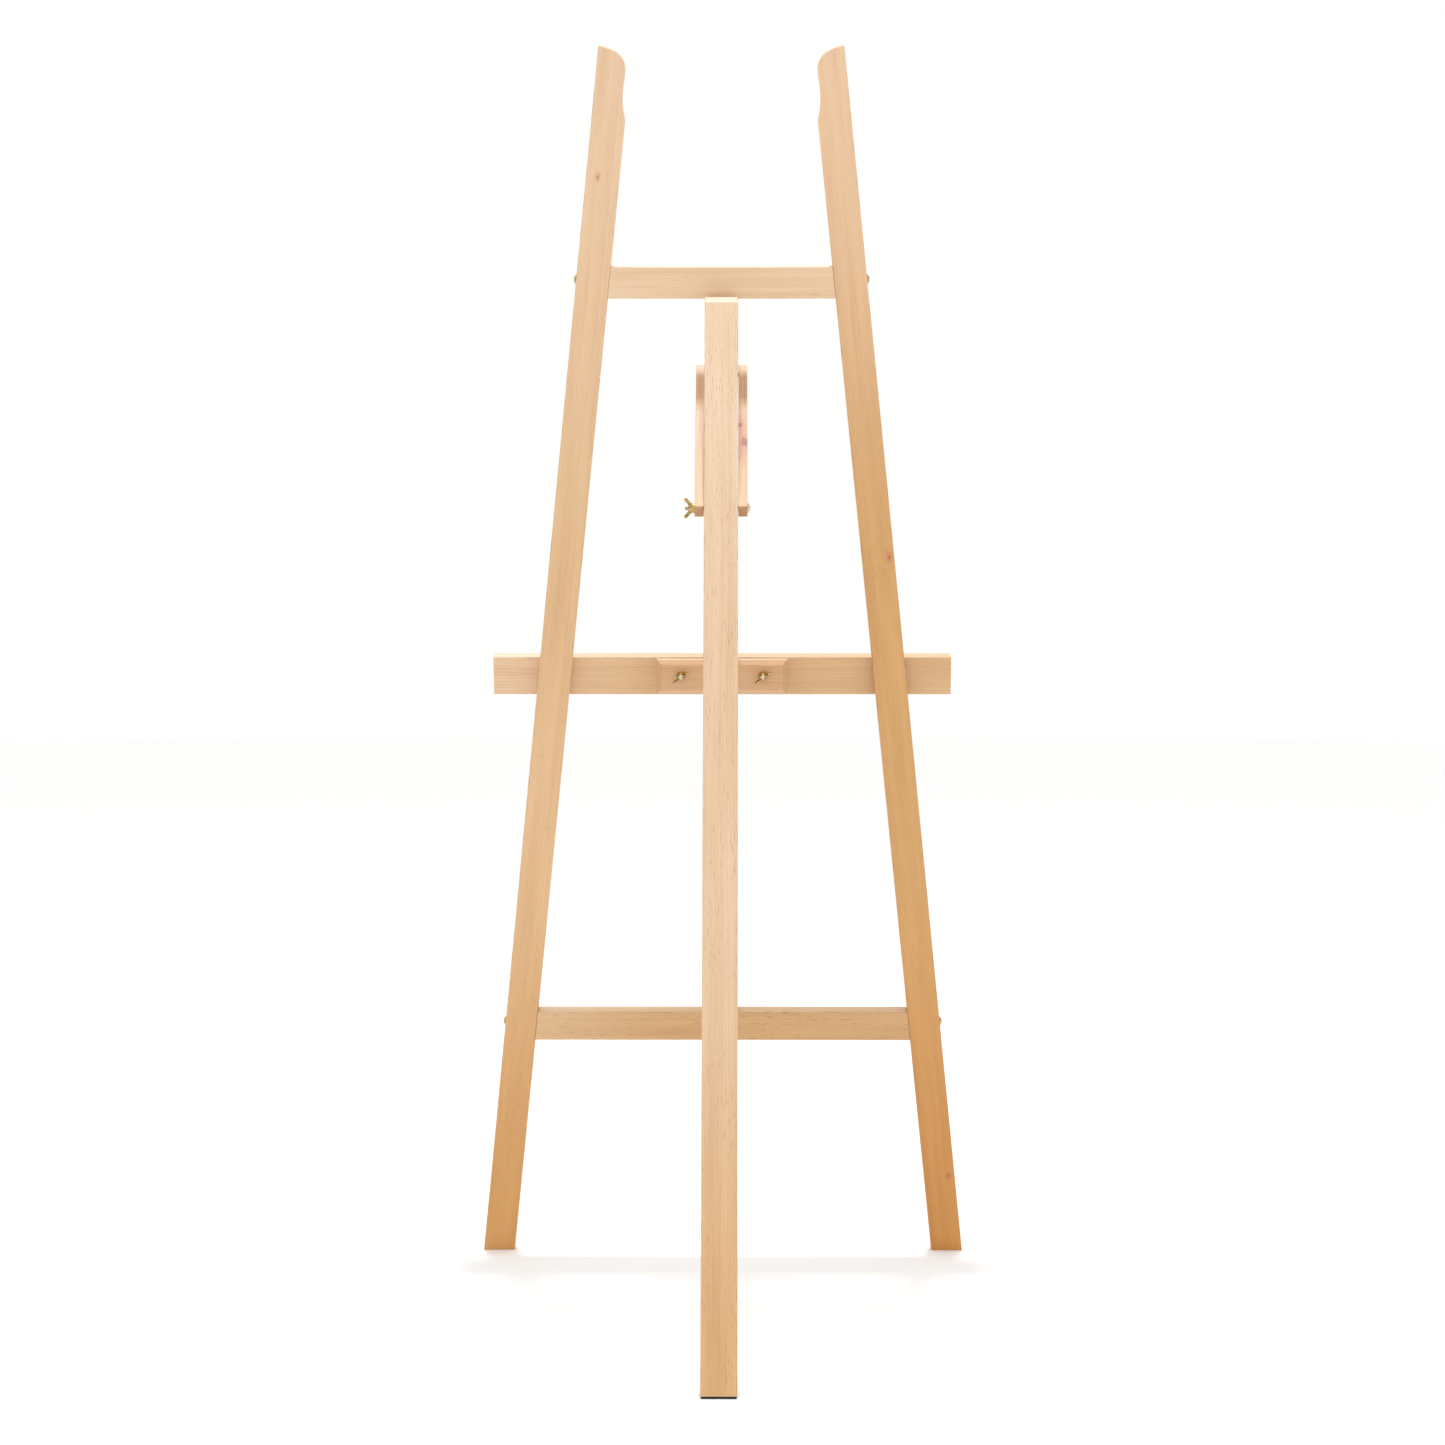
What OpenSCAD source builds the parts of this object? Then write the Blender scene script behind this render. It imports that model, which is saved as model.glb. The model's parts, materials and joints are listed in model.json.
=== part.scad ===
// A-frame studio easel with lyre tops, a sliding canvas tray and a folding rear leg.
// The front faces -Y, the rear leg stands towards +Y, and the floor is the plane Z = 0.
// The front frame is drawn upright, with its rear face on Y = 0, and leans as one piece.

/* [Stance] */
// Angle by which the front frame leans back from the vertical, in degrees
lean = 11.3; // [10:0.1:12.5]
// Angle of the open rear leg from the vertical, in degrees
rear_lean = 20; // [18:0.5:22]
// Angle of each front leg from the middle of the frame, in degrees
splay = 6.2; // [5.4:0.1:6.6]
// Distance from the middle of the frame to the centre of a front leg, at the floor
half_foot = 329; // [315:1:340]

/* [Timber] */
// Width of the legs as seen from the front
leg_w = 45; // [42:1:46]
// Thickness of the legs, rails and mast
leg_t = 24; // [22:1:26]
// Width of the mast, a little less than the legs
mast_w = 44; // [41:0.5:44]
// Height of both rails
rail_h = 43; // [40:1:48]

/* [Front frame] */
// Length of a front leg from the floor to its outer top corner
leg_len = 1737; // [1700:1:1760]
// Length of the shaped top of a front leg
horn_len = 94; // [90:1:100]
// Height of the lower rail's lower edge, along the frame
low_rail_s = 327; // [300:1:360]
// Height of the top rail's lower edge, along the frame
top_rail_s = 1393.5; // [1380:0.5:1405]

/* [Tray] */
// Length of the tray
tray_len = 644; // [600:1:680]
// Height of the tray's back board
tray_h = 54; // [50:1:60]
// Thickness of the tray's back board
tray_t = 26; // [24:1:28]
// Height of the tray's lower edge at rest, along the frame
tray_s = 835; // [820:1:850]
// Depth of the channel that the canvas stands in
channel_d = 45; // [38:1:52]
// Thickness of the ledge and of the lip
ledge_t = 12; // [10:1:13]
// Height of the lip, measured from the underside of the ledge
lip_h = 24; // [20:1:30]

/* [Clamp block] */
// Width of the clamp block
block_w = 183; // [170:1:190]
// Height of the clamp block
block_h = 50; // [46:1:52]
// Thickness of the clamp block
block_t = 13; // [12:0.5:14]
// Width of the bevel round the block's rear face
block_bevel = 7.5; // [5:0.5:8]
// Distance between the two clamp bolts
bolt_gap = 114.5; // [110:0.5:118]

/* [Rear leg and brace] */
// Distance down the rear leg from the hinge to the brace bolt
brace_bolt_u = 304.5; // [296:0.5:312]
// Distance down the mast from the hinge to the brace's pivot
brace_pivot_u = 99.3; // [96:0.1:102]
// Width of a brace arm in side view
arm_w = 21; // [20.5:0.5:24]
// Thickness of a brace arm
arm_t = 12; // [10:1:13]
// Angle through which the rear leg folds
fold = 29.2; // [25:0.1:29.2]
// Turn of the brace arms for each degree of the leg's fold
arm_ratio = 1.341; // [1.335:0.001:1.345]
// Thickness of the rubber pad under the rear leg
pad_t = 3; // [2:0.5:4]

/* [Hidden] */
$fn = 48;
far = 400;

// Running clearance on a radius, and the gap between flat faces that slide
run = 0.06;
slide_gap = 0.3;

// Fasteners
m6_r = 3;
m6_hole_r = 3.25;
dome_r = 7.2;
dome_h = 3.6;
socket_r = 2.3;
washer_t = 1.5;
washer_r = 6.8;
nut_base_r = 6.2;
nut_neck_r = 4.6;
nut_base_h = 6.5;
wing_t = 2.4;
wing_tip_r = 2.4;
wing_tip = [11, 9.6];
stud_out = 4.5;
// Turn of the clamp's wing nuts from level, as they were last tightened
nut_turn = 35;
brace_nut_turn = -15;
barrel_r = 5;
barrel_len = 14;
barrel_in = 32;
dowel_r = 4;
dowel_len = 40;
small_dowel_r = 3;
small_dowel_len = 30;
pin_r = 1;
pin_len = 26;

// Lyre top of a front leg: a waist, a dome and a flatter crown
waist_r = 118;
waist_low = 40;
waist_end = 12;
dome_arc_r = 25.5;
dome_w = 9.5;
dome_l = 65;
crown_r = 90;
crown_from = 110;

// Hinge between the mast and the rear leg
hinge_gap = 3.2;
hinge_drop = 4.5;
knuckle_r = 2.8;
knuckle_n = 5;
leaf_t = 1.5;
leaf_w = 40;
leaf_h = 32;
leaf_top = 3.6;
hinge_pin_r = 1.5;
screw_r = 1.5;
screw_head_r = 3.2;
screw_len = 13;
screw_at = [[-16, -11], [16, -11], [0, -24]];

// Top edge of the rear leg is bevelled
leg_top = 1;
top_bevel_v = 8;
top_bevel_u = 11;

// Brace pin, arms and slots
arm_gap = 0.5;
arm_end = 7.5;
arm_round = 2;
brace_pin_r = 4;

// Hinge axis in the frame, and where the open leg and its brace bolt stand
hinge_s = top_rail_s - hinge_drop;
open_angle = lean + rear_lean;
mid_v = hinge_gap + leg_t / 2;
rear_v = hinge_gap + leg_t;
arm_in = leg_w / 2 + arm_gap;
arm_out = arm_in + arm_t;
pivot_n = -leg_t / 2;
pivot_s = hinge_s - brace_pivot_u;

// Length and direction of the brace, from its pivot to its bolt, for any fold of the leg
function bolt_n(a) = hinge_gap + mid_v * cos(a) + brace_bolt_u * sin(a) - pivot_n;
function brace_down(a) = brace_bolt_u * cos(a) - mid_v * sin(a) - brace_pivot_u;
function brace_len(a) = norm([bolt_n(a), brace_down(a)]);
function brace_angle(a) = atan2(bolt_n(a), brace_down(a));
arm_angle = brace_angle(open_angle);
arm_len = brace_len(open_angle);

// How far the bolt strays sideways in the arm's slot when the leg is part folded
function stray(f) = brace_len(open_angle - f)
    * sin(brace_angle(open_angle - f) - arm_angle + arm_ratio * f);
slot_play = max([for (i = [0:20]) stray(fold * i / 20)]);
slot_w = slot_play + 2 * m6_r + 0.6;
slot_y = slot_play / 2;
slot_run = arm_len - brace_len(open_angle - fold) + 0.6;

// Place of the whole easel: the box round it is centred on the origin
hinge_y = hinge_s * sin(lean) + hinge_gap * cos(lean);
hinge_z = hinge_s * cos(lean) - hinge_gap * sin(lean);
function rear_y(v, z) = hinge_y + v / cos(rear_lean) + (hinge_z - z) * tan(rear_lean);
foot_back_y = rear_y(rear_v, pad_t);
foot_front_y = rear_y(hinge_gap, pad_t);
shift_y = (leg_t / cos(lean) - foot_back_y) / 2;

// Heights along the frame
low_rail_top = low_rail_s + rail_h;
low_rail_mid = low_rail_s + rail_h / 2;
top_rail_mid = top_rail_s + rail_h / 2;
bolt_s_at = tray_s + 36;
block_s = tray_s + 8;
board_n = -leg_t - slide_gap;
board_front = board_n - tray_t;
lip_back = board_front - channel_d;
block_rear = slide_gap + block_t;

function inner_x(s) = half_foot - s * tan(splay) - leg_w / 2 / cos(splay);
function bolt_l(s) = (s + 4 - leg_w / 2 * sin(splay)) / cos(splay);
function arc(c, r, a0, a1, n = 12) =
    [for (i = [0:n]) let (a = a0 + (a1 - a0) * i / n) c + r * [cos(a), sin(a)]];

// ---- Frames of reference ----

// Puts what is drawn upright onto the leaning front frame
module on_frame() {
    translate([0, shift_y, 0]) rotate([-lean, 0, 0]) children();
}

// X along the hinge, Y out of the leg's rear face, Z up the rear leg, from the hinge axis
module on_rear_leg() {
    on_frame() translate([0, hinge_gap, hinge_s]) rotate([open_angle, 0, 0]) children();
}

// The same for the brace arms, from their pivot on the mast
module on_brace() {
    on_frame() translate([0, pivot_n, pivot_s]) rotate([arm_angle, 0, 0]) children();
}

// X outwards across the left front leg, Z up its length, Y = 0 on its rear face
module on_left_leg() {
    on_frame() translate([half_foot, 0, 0]) rotate([0, -splay, 0]) children();
}

module both_sides() {
    children();
    mirror([1, 0, 0]) children();
}

// Everything below a height above the floor, used to cut feet level
module below(z) {
    translate([-far, -far * 3, z - far]) cube([far * 2, far * 6, far]);
}

// ---- Fasteners ----

// Dome head that stands on Z = 0
module dome(r, h) {
    ball = (r * r + h * h) / (2 * h);
    intersection() {
        translate([0, 0, h - ball]) sphere(ball, $fn = 64);
        cylinder(h, r, r);
    }
}

// Wing nut that stands on Z = 0, with its wings along X
module wing_nut() {
    difference() {
        union() {
            rotate_extrude() polygon([[0, 0], [nut_base_r, 0], [nut_base_r, 1.4],
                [nut_neck_r, nut_base_h], [0, nut_base_h]]);
            both_sides() wing();
        }
        translate([0, 0, -1]) cylinder(nut_base_h + 2, m6_r + run, m6_r + run);
    }
}

module wing() {
    translate([0, wing_t / 2, 0]) rotate([90, 0, 0]) linear_extrude(wing_t)
        polygon(concat([[3.6, 1.6], [5.9, 1.8]],
            arc(wing_tip, wing_tip_r, -50, 140),
            [[4.5, 6.2], [3.6, 6.2]]));
}

module washer() {
    difference() {
        cylinder(washer_t, washer_r, washer_r);
        translate([0, 0, -1]) cylinder(washer_t + 2, m6_hole_r, m6_hole_r);
    }
}

module screw() {
    rotate_extrude() polygon([[0, 0], [screw_head_r, 0], [screw_r, -leaf_t],
        [screw_r, -screw_len + 3], [0.3, -screw_len], [0, -screw_len]]);
}

// Clearance for a screw, in its leaf and in the wood behind it
module screw_hole() {
    rotate_extrude() polygon([[0, 1], [screw_head_r + 0.05, 1], [screw_head_r + 0.05, 0],
        [screw_r + 0.05, -leaf_t], [screw_r + 0.05, -screw_len - 0.5], [0, -screw_len - 0.5]]);
}

// ---- Front frame ----

module leg_outline() {
    half = leg_w / 2;
    cusp = leg_len - horn_len;
    a_low = -asin(waist_low / waist_r);
    waist_c = [-half - waist_r * cos(a_low), cusp + waist_low];
    dome_c = [dome_w, cusp + dome_l];
    crown_c = dome_c - (crown_r - dome_arc_r) * [cos(crown_from), sin(crown_from)];
    polygon(concat([[half, -far / 8], [-half, -far / 8]],
        arc(waist_c, waist_r, a_low, asin(waist_end / waist_r)),
        arc(dome_c, dome_arc_r, 180, crown_from, 16),
        arc(crown_c, crown_r, crown_from, acos((half - crown_c[0]) / crown_r), 8)));
}

// A rail bolt's hole or shank, from the leg's outer face inwards
module along_rail_bolt(s) {
    on_left_leg() translate([leg_w / 2, -leg_t / 2, bolt_l(s)]) rotate([0, -90, 0]) children();
}

module rail_bolt_holes() {
    for (s = [low_rail_mid, top_rail_mid])
        along_rail_bolt(s) translate([0, 0, -1])
            cylinder(leg_w + barrel_in + 14, m6_hole_r, m6_hole_r);
}

module front_leg() {
    difference() {
        on_left_leg() rotate([90, 0, 0]) linear_extrude(leg_t) leg_outline();
        below(0);
        rail_bolt_holes();
    }
}

module front_leg_left() {
    color("burlywood") front_leg();
}

module front_leg_right() {
    color("burlywood") mirror([1, 0, 0]) front_leg();
}

// Blind cross hole for a barrel nut, drilled from the rail's front face
module barrel_hole(s) {
    along_rail_bolt(s) translate([0, 0, leg_w + barrel_in]) rotate([90, 0, 0])
        translate([0, 0, -barrel_len / 2 - 0.2])
            cylinder(far / 4, barrel_r + run, barrel_r + run);
}

module rail(s) {
    top = s + rail_h;
    difference() {
        on_frame() rotate([90, 0, 0]) linear_extrude(leg_t)
            polygon([[-inner_x(s), s], [inner_x(s), s], [inner_x(top), top], [-inner_x(top), top]]);
        both_sides() {
            rail_bolt_holes();
            barrel_hole(s + rail_h / 2);
        }
        mast_dowel_set(run);
    }
}

module top_rail() {
    color("burlywood") rail(top_rail_s);
}

module lower_rail() {
    color("burlywood") rail(low_rail_s);
}

module rail_bolt() {
    difference() {
        union() {
            rotate([180, 0, 0]) dome(dome_r, dome_h);
            cylinder(leg_w + barrel_in + 8, m6_r, m6_r);
        }
        translate([0, 0, -dome_h - 1]) cylinder(3.4, socket_r, socket_r, $fn = 6);
    }
}

module rail_bolts() {
    color("goldenrod") both_sides()
        for (s = [low_rail_mid, top_rail_mid]) along_rail_bolt(s) rail_bolt();
}

module barrel_nuts() {
    color("silver") both_sides()
        for (s = [low_rail_mid, top_rail_mid])
            difference() {
                along_rail_bolt(s) translate([0, 0, leg_w + barrel_in]) rotate([90, 0, 0])
                    translate([0, 0, -barrel_len / 2]) cylinder(barrel_len, barrel_r, barrel_r);
                along_rail_bolt(s) cylinder(far, m6_r + run, m6_r + run);
            }
}

module mast_dowel_set(extra) {
    for (s = [low_rail_top, top_rail_s], x = [-7, 7])
        on_frame() translate([x, -leg_t / 2, s - dowel_len / 2 - extra * 5])
            cylinder(dowel_len + extra * 10, dowel_r + extra, dowel_r + extra);
}

module mast_dowels() {
    color("tan") mast_dowel_set(0);
}

module mast() {
    color("burlywood") difference() {
        on_frame() translate([-mast_w / 2, -leg_t, low_rail_top])
            cube([mast_w, leg_t, top_rail_s - low_rail_top]);
        mast_dowel_set(run);
        on_frame() translate([-far, pivot_n, pivot_s]) rotate([0, 90, 0])
            cylinder(far * 2, brace_pin_r + run, brace_pin_r + run);
        mast_screws() screw_hole();
    }
}

// ---- Hinge ----

module mast_screws() {
    on_frame() for (p = screw_at)
        translate([p[0], leaf_t, hinge_s + p[1]]) rotate([-90, 0, 0]) children();
}

module leg_screws() {
    on_rear_leg() for (p = screw_at)
        translate([p[0], hinge_gap - leaf_t, p[1]]) rotate([90, 0, 0]) children();
}

// One leaf, on the side of the hinge axis towards -Y, with every second knuckle
module leaf(first) {
    seg = leaf_w / knuckle_n;
    difference() {
        union() {
            translate([-leaf_w / 2, -hinge_gap, -leaf_h]) cube([leaf_w, leaf_t, leaf_h - leaf_top]);
            for (i = [first:2:knuckle_n - 1]) {
                x = -leaf_w / 2 + seg * i + 0.15;
                translate([x, -hinge_gap, -leaf_top - 1]) cube([seg - 0.3, leaf_t, leaf_top + 1]);
                translate([x, 0, 0]) rotate([0, 90, 0]) cylinder(seg - 0.3, knuckle_r, knuckle_r);
            }
        }
        translate([-leaf_w, 0, 0]) rotate([0, 90, 0])
            cylinder(leaf_w * 2, hinge_pin_r + run, hinge_pin_r + run);
    }
}

module hinge_leaf_mast() {
    color("goldenrod") difference() {
        on_frame() translate([0, hinge_gap, hinge_s]) leaf(0);
        mast_screws() screw_hole();
    }
}

module hinge_leaf_leg() {
    color("goldenrod") difference() {
        on_rear_leg() mirror([0, 1, 0]) leaf(1);
        leg_screws() screw_hole();
    }
}

module hinge_screws_mast() {
    color("goldenrod") mast_screws() screw();
}

module hinge_screws_leg() {
    color("goldenrod") leg_screws() screw();
}

module hinge_pin() {
    color("silver") on_frame() translate([-leaf_w / 2, hinge_gap, hinge_s]) rotate([0, 90, 0])
        cylinder(leaf_w, hinge_pin_r, hinge_pin_r);
}

// ---- Rear leg and brace ----

module rear_leg() {
    long = hinge_z / cos(rear_lean) + far / 4;
    color("burlywood") difference() {
        on_rear_leg() translate([leg_w / 2, 0, 0]) rotate([0, -90, 0]) linear_extrude(leg_w)
            polygon([[-long, hinge_gap], [-leg_top, hinge_gap],
                [-leg_top, rear_v - top_bevel_v], [-leg_top - top_bevel_u, rear_v],
                [-long, rear_v]]);
        below(pad_t);
        on_rear_leg() translate([-far, mid_v, -brace_bolt_u]) rotate([0, 90, 0])
            cylinder(far * 2, m6_hole_r, m6_hole_r);
        leg_screws() screw_hole();
    }
}

module rear_foot_pad() {
    inset = 1;
    color("black") translate([-leg_w / 2 + inset, foot_front_y + shift_y + inset, 0])
        cube([leg_w - inset * 2, foot_back_y - foot_front_y - inset * 2, pad_t]);
}

// The bolt's head is on the right, and its wing nut on the left
module brace_bolt() {
    head_x = arm_out + 0.2;
    shank = head_x + arm_out + 0.2 + washer_t + nut_base_h + stud_out;
    color("goldenrod") on_rear_leg() translate([-head_x, mid_v, -brace_bolt_u])
        rotate([0, 90, 0]) union() {
            rotate([180, 0, 0]) dome(dome_r, dome_h);
            cylinder(shank, m6_r, m6_r);
        }
}

module brace_washer() {
    color("goldenrod") on_rear_leg() translate([arm_out + 0.2, mid_v, -brace_bolt_u])
        rotate([0, 90, 0]) washer();
}

module brace_wing_nut() {
    color("goldenrod") on_rear_leg()
        translate([arm_out + 0.2 + washer_t + 0.1, mid_v, -brace_bolt_u])
            rotate([0, 90, 0]) rotate([0, 0, brace_nut_turn]) wing_nut();
}

module brace_pivot_pin() {
    color("silver") on_frame() translate([-arm_out, pivot_n, pivot_s]) rotate([0, 90, 0])
        cylinder(arm_out * 2, brace_pin_r, brace_pin_r);
}

// A bar from x0 to x1 along X, centred on y, with its corners rounded, as a run of points
function soft_bar(x0, x1, y, half, r) = concat(
    arc([x1 - r, y - half + r], r, -90, 0), arc([x1 - r, y + half - r], r, 0, 90),
    arc([x0 + r, y + half - r], r, 90, 180), arc([x0 + r, y - half + r], r, 180, 270));

// A slot with round ends, whose end centres are at x0 and x1
function slot(x0, x1, y, r) =
    concat(arc([x1, y], r, -90, 90, 24), arc([x0, y], r, 90, 270, 24));

// The arm, its slot for the brace bolt and its hole for the pivot, with X up the arm
module brace_arm() {
    on_brace() translate([arm_out, 0, 0]) rotate([0, -90, 0]) difference() {
        linear_extrude(arm_t)
            polygon(soft_bar(-arm_len - arm_end, arm_end, slot_y / 2, arm_w / 2, arm_round));
        translate([0, 0, -1]) linear_extrude(arm_t + 2)
            polygon(slot(-arm_len, slot_run - arm_len, slot_y, slot_w / 2));
        translate([0, 0, -1]) cylinder(arm_t + 2, brace_pin_r + run, brace_pin_r + run);
    }
}

module brace_arm_left() {
    color("burlywood") brace_arm();
}

module brace_arm_right() {
    color("burlywood") mirror([1, 0, 0]) brace_arm();
}

// ---- Tray ----

// Bar across the tray, from n0 back to n1 and from s0 up to s1
module tray_bar(n0, n1, s0, s1) {
    translate([-tray_len / 2, n0, s0]) cube([tray_len, n1 - n0, s1 - s0]);
}

// The two clamp bolts, from the front, with Z towards the rear
module clamp_points(n) {
    for (side = [-1, 1])
        on_frame() translate([side * bolt_gap / 2, n, bolt_s_at]) rotate([-90, 0, 0]) children();
}

module small_dowels(extra) {
    for (x = [-240, -80, 80, 240])
        on_frame() translate([x, board_front + small_dowel_len / 2 + extra * 5, tray_s + ledge_t / 2])
            rotate([90, 0, 0]) cylinder(small_dowel_len + extra * 10,
                small_dowel_r + extra, small_dowel_r + extra);
}

module lip_pin_set(extra) {
    for (x = [-280:140:280])
        on_frame() translate([x, lip_back - ledge_t, tray_s + ledge_t / 2]) rotate([-90, 0, 0])
            translate([0, 0, -extra]) cylinder(pin_len + extra * 10, pin_r + extra, pin_r + extra);
}

module tray_back_board() {
    sink = dome_h + 1;
    color("burlywood") difference() {
        on_frame() tray_bar(board_front, board_n, tray_s, tray_s + tray_h);
        clamp_points(board_front - 1) cylinder(tray_t + 2, m6_hole_r, m6_hole_r);
        clamp_points(board_front - 1) cylinder(sink + 1, dome_r + 0.8, dome_r + 0.8);
        small_dowels(run);
    }
}

module tray_ledge() {
    color("burlywood") difference() {
        on_frame() tray_bar(lip_back, board_front, tray_s, tray_s + ledge_t);
        small_dowels(run);
        lip_pin_set(run);
    }
}

module tray_lip() {
    color("burlywood") difference() {
        on_frame() tray_bar(lip_back - ledge_t, lip_back, tray_s, tray_s + lip_h);
        lip_pin_set(run);
    }
}

module tray_dowels() {
    color("tan") small_dowels(0);
}

module lip_pins() {
    color("goldenrod") lip_pin_set(0);
}

// Block behind the mast, bevelled round its rear face
module clamp_block() {
    half = block_w / 2;
    color("burlywood") difference() {
        intersection() {
            on_frame() translate([-half, 0, 0]) rotate([90, 0, 90]) linear_extrude(block_w)
                polygon([[slide_gap, block_s], [block_rear - block_bevel, block_s],
                    [block_rear, block_s + block_bevel],
                    [block_rear, block_s + block_h - block_bevel],
                    [block_rear - block_bevel, block_s + block_h],
                    [slide_gap, block_s + block_h]]);
            on_frame() translate([0, 0, block_s]) linear_extrude(block_h)
                polygon([[-half, slide_gap], [half, slide_gap],
                    [half, block_rear - block_bevel], [half - block_bevel, block_rear],
                    [block_bevel - half, block_rear], [-half, block_rear - block_bevel]]);
        }
        clamp_points(slide_gap - 1) cylinder(block_t + 2, m6_hole_r, m6_hole_r);
    }
}

module clamp_bolts() {
    head_n = board_front + dome_h + 1;
    shank = block_rear + washer_t + nut_base_h + stud_out - head_n;
    color("goldenrod") clamp_points(head_n) union() {
        rotate([180, 0, 0]) dome(dome_r, dome_h);
        cylinder(shank, m6_r, m6_r);
    }
}

module clamp_washers() {
    color("goldenrod") clamp_points(block_rear) washer();
}

// One of the clamp's wing nuts, on the left for side = 1
module clamp_wing_nut(side) {
    on_frame() translate([side * bolt_gap / 2, block_rear + washer_t + 0.1, bolt_s_at])
        rotate([-90, 0, 0]) rotate([0, 0, nut_turn]) wing_nut();
}

module clamp_wing_nut_left() {
    color("goldenrod") clamp_wing_nut(1);
}

module clamp_wing_nut_right() {
    color("goldenrod") clamp_wing_nut(-1);
}

front_leg_left();
front_leg_right();
top_rail();
lower_rail();
mast();
mast_dowels();
rail_bolts();
barrel_nuts();
hinge_leaf_mast();
hinge_screws_mast();
hinge_pin();
brace_pivot_pin();
rear_leg();
rear_foot_pad();
hinge_leaf_leg();
hinge_screws_leg();
brace_bolt();
brace_washer();
brace_wing_nut();
brace_arm_left();
brace_arm_right();
tray_back_board();
tray_ledge();
tray_lip();
tray_dowels();
lip_pins();
clamp_block();
clamp_bolts();
clamp_washers();
clamp_wing_nut_left();
clamp_wing_nut_right();
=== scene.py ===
import json
import math

import bmesh
import bpy
import numpy as np
from mathutils import Matrix, Vector


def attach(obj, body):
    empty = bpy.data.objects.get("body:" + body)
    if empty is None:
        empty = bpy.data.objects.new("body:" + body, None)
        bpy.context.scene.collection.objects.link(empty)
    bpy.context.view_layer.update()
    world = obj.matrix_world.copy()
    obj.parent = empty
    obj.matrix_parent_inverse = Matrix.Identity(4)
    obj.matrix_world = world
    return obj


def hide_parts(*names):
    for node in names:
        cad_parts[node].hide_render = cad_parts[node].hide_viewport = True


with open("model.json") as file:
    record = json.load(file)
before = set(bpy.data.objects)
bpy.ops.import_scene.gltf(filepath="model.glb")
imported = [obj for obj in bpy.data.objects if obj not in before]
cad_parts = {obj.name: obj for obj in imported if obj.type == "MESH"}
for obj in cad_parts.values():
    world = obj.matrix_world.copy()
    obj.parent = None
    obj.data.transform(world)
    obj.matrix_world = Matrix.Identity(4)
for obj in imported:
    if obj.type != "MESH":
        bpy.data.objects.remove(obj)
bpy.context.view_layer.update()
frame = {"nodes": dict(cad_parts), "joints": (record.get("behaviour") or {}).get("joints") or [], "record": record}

MM = 0.001

# Rounding of the edges, by kind of piece
LEG_ARRIS = 1.6 * MM
BOARD_ARRIS = 1.2 * MM
SLAT_ARRIS = 0.9 * MM
ARM_ARRIS = 0.45 * MM
METAL_ARRIS = 0.15 * MM
PAD_ARRIS = 0.6 * MM
ARRIS_STEPS = 3
# Edges where a piece was cut to length stay sharper than its long arrises
END_SHARE = 0.35
# Openings smaller than these keep sharp rims: in a brace arm, in other timber and in a plate
SLOT_SIZE = 60 * MM
HOLE_SIZE = 30 * MM
PLATE_HOLE_SIZE = 12 * MM

# Limits for reading a mesh: points that meet, faces that lie flat, edges to round, and creases
WELD_GAP = 0.002 * MM
FLAT_ANGLE = math.radians(0.4)
CORNER_ANGLE = math.radians(28)
SHARP_ANGLE = math.radians(35)
# Dot products of unit vectors that run the same way, and that stand across each other
SAME_WAY = 0.9995
ACROSS = 0.4

# Fasteners
TURNED_SIDES = 64
PIN_SIDES = 48
THREAD_PITCH = 1.0 * MM
THREAD_DEPTH = 0.55 * MM
TIP_CHAMFER = 0.8 * MM
CLAMP_THREAD = 14 * MM
BRACE_THREAD = 16 * MM
SOCKET_HALF = 2.05 * MM
SOCKET_RIM = 2.9 * MM
SOCKET_DEEP = 2.2 * MM
BLANK_RIM = 0.8 * MM
CROSS_DEEP = 1.2 * MM
PROFILE_STEP = 0.02 * MM
NUT_GRID = 0.28 * MM

# Camera, behind the easel and looking towards the front
CAMERA_AT = Vector((-0.02725, 3.9962, 0.9995))
CAMERA_DOWN = math.radians(2.909)
CAMERA_YAW = math.radians(0.363)
CAMERA_LENS = 75.0
CAMERA_SENSOR = 36.0

FLOOR_RADIUS = 14.0
FLOOR_DROP = 0.1 * MM
LAMP_AT = (0.0, -0.32, 5.0)
LAMP_TOWARDS = (0.0, -0.1, 1.2)
LAMP_SIZE = 0.38
LAMP_POWER = 86
LAMP_COLOR = (0.95, 0.99, 1.04)


# ---- Node trees ----

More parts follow.
